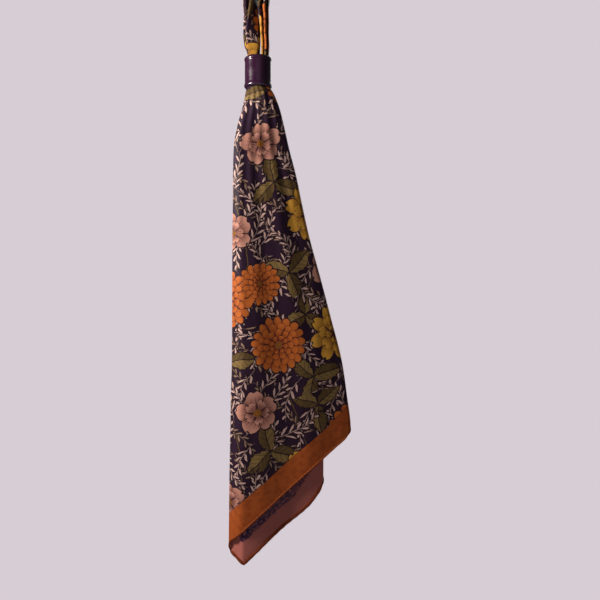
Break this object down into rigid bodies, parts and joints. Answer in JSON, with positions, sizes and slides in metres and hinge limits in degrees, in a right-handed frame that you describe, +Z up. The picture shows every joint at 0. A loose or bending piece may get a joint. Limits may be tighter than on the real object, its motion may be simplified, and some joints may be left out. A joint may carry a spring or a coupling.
{
  "type": "square scarf on a wall hook",
  "caption": "Square printed scarf with a plain orange border, folded over a wall hook and drawn through a glossy dark scarf ring.",
  "frame": {"origin": "middle of the wall plate's back face, which lies on the wall", "axes": "+Z up, +Y into the wall, +X to the right of someone who faces the scarf"},
  "size_m": [0.1363, 0.0748, 0.6845],
  "materials": {
    "printed_cloth": "fine plain weave, dark aubergine ground with an orange, gold and pink flower print and a plain amber border",
    "ring_band": "dark aubergine, glossy, with rolled rims",
    "hook_metal": "satin"
  },
  "bodies": {
    "root": {"wall_plate": "hook_metal", "screw_upper": "hook_metal", "screw_lower": "hook_metal", "hook_arm": "hook_metal", "scarf_hook_loop": "printed_cloth", "scarf_front_fall": "printed_cloth", "scarf_rear_fall": "printed_cloth", "scarf_ring": "ring_band"}
  },
  "joints": []
}
